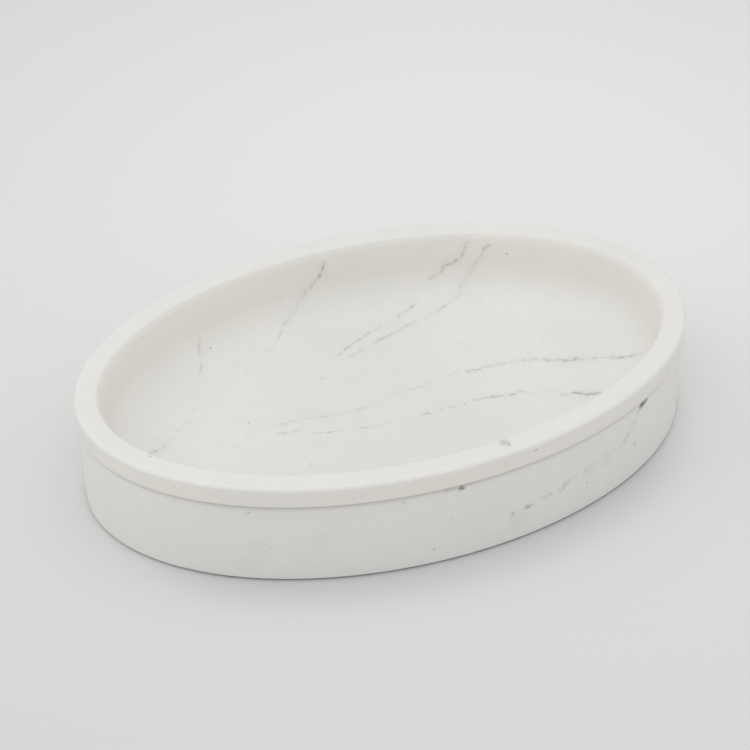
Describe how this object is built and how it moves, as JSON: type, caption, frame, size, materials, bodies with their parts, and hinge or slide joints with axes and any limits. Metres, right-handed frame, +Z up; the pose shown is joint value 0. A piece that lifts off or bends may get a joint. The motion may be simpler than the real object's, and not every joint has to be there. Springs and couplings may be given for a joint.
{
  "type": "soap dish",
  "caption": "Oval stone soap dish: a smooth bowl in a lift-out tray whose rim overhangs a footed base.",
  "frame": {"origin": "on the table, under the middle of the dish", "axes": "+X along the length of the dish, +Y across it towards the rear, +Z up"},
  "size_m": [0.14, 0.088, 0.026],
  "materials": {
    "base_stone": "honed white marble with grey veins",
    "tray_stone": "honed white marble with grey veins",
    "silicone": "matte translucent silicone"
  },
  "bodies": {
    "base": {"base": "base_stone", "foot_front_left": "silicone", "foot_front_right": "silicone", "foot_rear_left": "silicone", "foot_rear_right": "silicone"},
    "tray": {"tray": "tray_stone"}
  },
  "joints": [
    {"name": "tray_lift", "type": "slide", "parent": "base", "child": "tray", "axis": [0, 0, 1], "range_m": [0, 0.04]}
  ]
}
